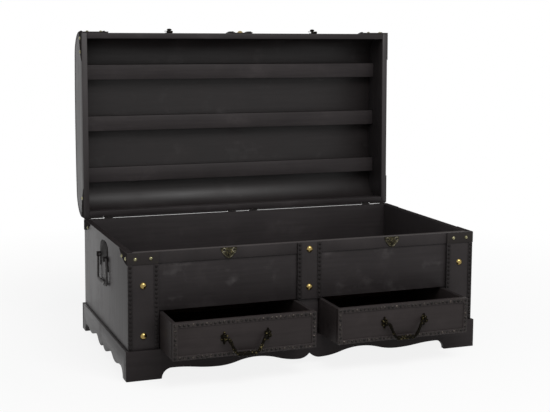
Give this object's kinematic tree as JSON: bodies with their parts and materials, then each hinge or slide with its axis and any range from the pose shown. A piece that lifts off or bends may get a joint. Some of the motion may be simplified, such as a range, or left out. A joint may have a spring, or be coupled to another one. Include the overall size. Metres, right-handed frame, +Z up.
{
  "type": "mule chest",
  "caption": "Trunk-style mule chest: hinged domed lid over a deep compartment, drawers with drop pulls below, a scalloped plinth and drop handles on the ends.",
  "frame": {"origin": "on the floor, at the middle of the plinth", "axes": "+X to the chest's right as seen from its front, +Y to its back, +Z up"},
  "size_m": [0.9096, 0.7289, 0.7927],
  "materials": {
    "dark_board": "dark stained grain, satin",
    "inner_board": "dark stained grain, matt",
    "drawer_board": "dark warm stain, satin",
    "leather_band": "dark grained hide, satin",
    "nail_trim": "dark strip set with small nail heads",
    "stud_brass": "polished, darker at the rim",
    "cap_metal": "dark bronze, satin",
    "antique_brass": "antique, worn to gold on the edges",
    "hinge_steel": "dark brushed",
    "dark_iron": "dark bronze, speckled with gold"
  },
  "bodies": {
    "carcass": {"plinth_front": "dark_board", "plinth_back": "dark_board", "plinth_left": "dark_board", "plinth_right": "dark_board", "base_panel": "inner_board", "plinth_corner_blocks": "inner_board", "end_panel_left": "dark_board", "end_panel_right": "dark_board", "pilaster_left": "leather_band", "pilaster_right": "leather_band", "drawer_bay_walls_left": "inner_board", "drawer_bay_walls_right": "inner_board", "back_panel": "dark_board", "front_panel": "dark_board", "drawer_divider": "dark_board", "chest_floor": "inner_board", "centre_stile": "leather_band", "top_rails": "leather_band", "body_nail_trim": "nail_trim", "body_brass_studs": "stud_brass", "body_corner_caps": "cap_metal", "body_corner_studs": "stud_brass", "body_hinge_leaves": "hinge_steel", "hinge_pins": "hinge_steel", "keeper_plates": "antique_brass", "side_handle_plate_left": "dark_iron", "side_handle_plate_right": "dark_iron"},
    "lid": {"lid_corner_caps": "cap_metal", "lid_corner_studs": "stud_brass", "lid_end_left": "dark_board", "lid_end_right": "dark_board", "lid_top": "dark_board", "lid_front": "dark_board", "lid_back": "dark_board", "lid_battens": "inner_board", "lid_straps": "leather_band", "lid_back_rails": "leather_band", "lid_nail_trim": "nail_trim", "lid_brass_studs": "stud_brass", "lid_hinge_leaves": "hinge_steel", "hasp_plates": "antique_brass"},
    "hasp_left": {"hasp_left": "antique_brass"},
    "hasp_right": {"hasp_right": "antique_brass"},
    "drawer_left": {"drawer_left_front": "drawer_board", "drawer_left_sides": "drawer_board", "drawer_left_back": "drawer_board", "drawer_left_bottom": "drawer_board", "drawer_left_trim": "nail_trim", "drawer_left_pull_posts": "dark_iron"},
    "drawer_right": {"drawer_right_front": "drawer_board", "drawer_right_sides": "drawer_board", "drawer_right_back": "drawer_board", "drawer_right_bottom": "drawer_board", "drawer_right_trim": "nail_trim", "drawer_right_pull_posts": "dark_iron"},
    "pull_left": {"drawer_left_pull": "dark_iron"},
    "pull_right": {"drawer_right_pull": "dark_iron"},
    "handle_left": {"side_handle_left": "dark_iron"},
    "handle_right": {"side_handle_right": "dark_iron"}
  },
  "joints": [
    {"name": "lid_hinge", "type": "hinge", "parent": "carcass", "child": "lid", "pos_m": [0, 0.247, 0.2955], "axis": [1, 0, 0], "range_deg": [0, 91]},
    {"name": "drawer_left_slide", "type": "slide", "parent": "carcass", "child": "drawer_left", "axis": [0, -1, 0], "range_m": [-0.115, 0.15]},
    {"name": "drawer_right_slide", "type": "slide", "parent": "carcass", "child": "drawer_right", "axis": [0, -1, 0], "range_m": [-0.115, 0.15]},
    {"name": "pull_left_pivot", "type": "hinge", "parent": "drawer_left", "child": "pull_left", "pos_m": [-0.1985, -0.3655, 0.11265], "axis": [-1, 0, 0], "range_deg": [0, 90]},
    {"name": "pull_right_pivot", "type": "hinge", "parent": "drawer_right", "child": "pull_right", "pos_m": [0.1985, -0.3655, 0.11265], "axis": [-1, 0, 0], "range_deg": [0, 90]},
    {"name": "handle_left_pivot", "type": "hinge", "parent": "carcass", "child": "handle_left", "pos_m": [-0.449, 0, 0.243], "axis": [0, 1, 0], "range_deg": [0, 90]},
    {"name": "handle_right_pivot", "type": "hinge", "parent": "carcass", "child": "handle_right", "pos_m": [0.449, 0, 0.243], "axis": [0, -1, 0], "range_deg": [0, 90]},
    {"name": "hasp_left_pivot", "type": "hinge", "parent": "lid", "child": "hasp_left", "pos_m": [-0.2025, 0.26612, 0.78904], "axis": [1, 0, 0], "range_deg": [0, 180]},
    {"name": "hasp_right_pivot", "type": "hinge", "parent": "lid", "child": "hasp_right", "pos_m": [0.2185, 0.26612, 0.78904], "axis": [1, 0, 0], "range_deg": [0, 180]}
  ]
}
